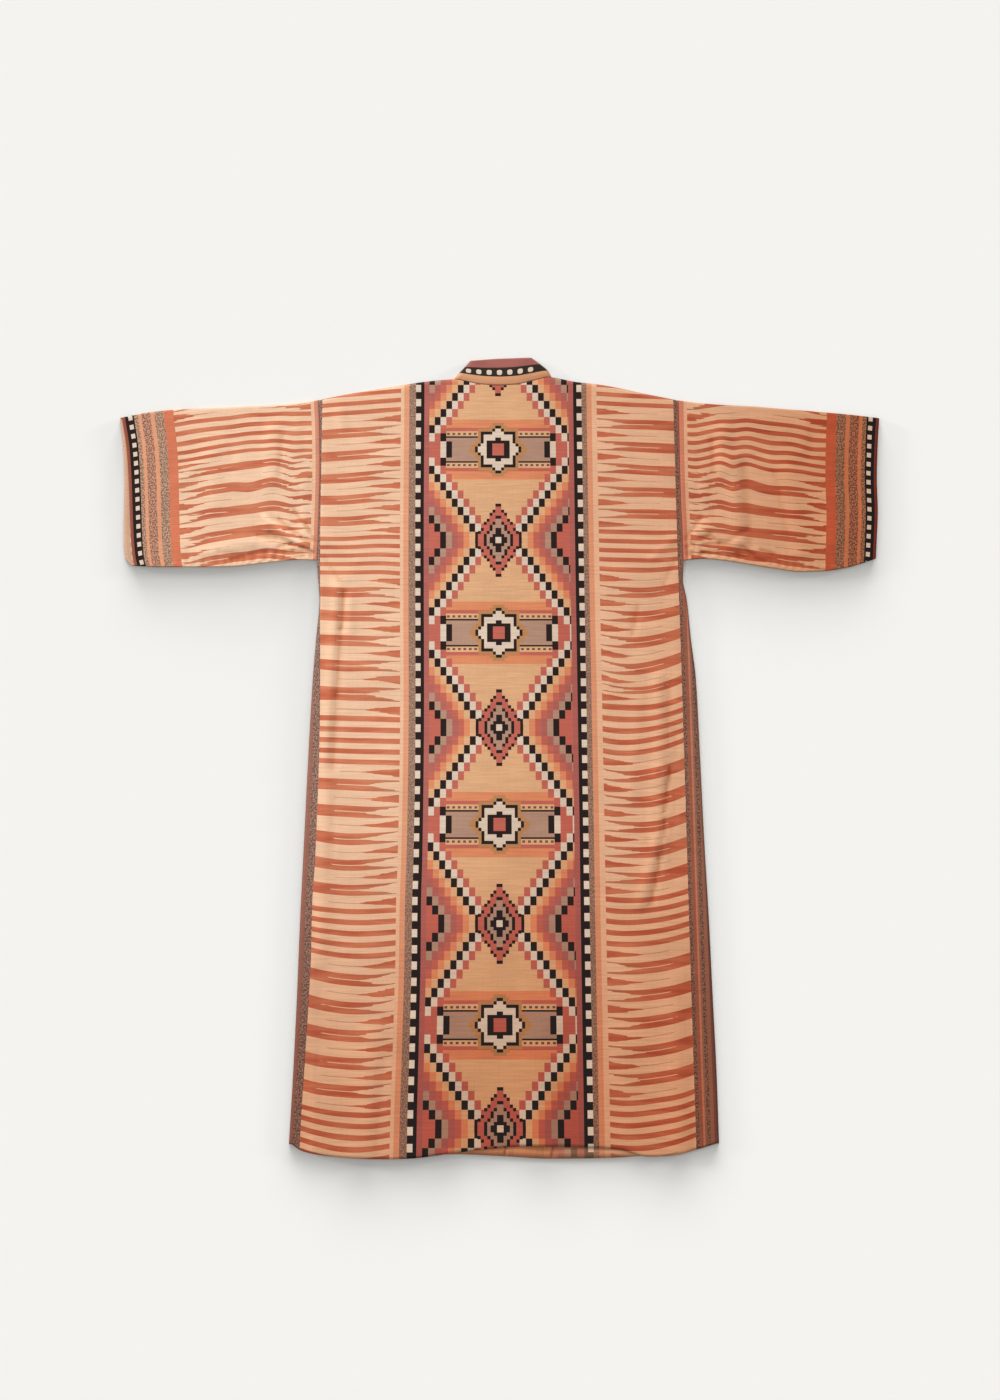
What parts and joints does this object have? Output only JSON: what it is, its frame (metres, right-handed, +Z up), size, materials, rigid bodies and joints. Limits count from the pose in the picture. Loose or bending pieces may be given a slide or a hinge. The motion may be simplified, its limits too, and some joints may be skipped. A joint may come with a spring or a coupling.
{
  "type": "kimono dress",
  "caption": "Kimono dress with wide short sleeves, a flared body and a standing neck band, laid flat on its front with its back up.",
  "frame": {"origin": "centre of the underside of the whole garment's bounding box, on the surface it lies on", "axes": "+X to the right as it lies with its back up, +Y from hem to neck, +Z up from the surface"},
  "size_m": [1.1381, 1.2015, 0.0086],
  "materials": {
    "cloth_body": "soft woven jacquard, matte, striped in rust and peach",
    "cloth_sleeves": "soft woven jacquard, matte, striped in rust and peach",
    "cloth_band": "soft woven jacquard, matte, peach with a checked stripe"
  },
  "bodies": {
    "root": {"back": "cloth_body", "front_left": "cloth_body", "front_right": "cloth_body", "sleeve_left": "cloth_sleeves", "sleeve_right": "cloth_sleeves", "collar_back": "cloth_band", "front_band_left": "cloth_band", "front_band_right": "cloth_band"}
  },
  "joints": []
}
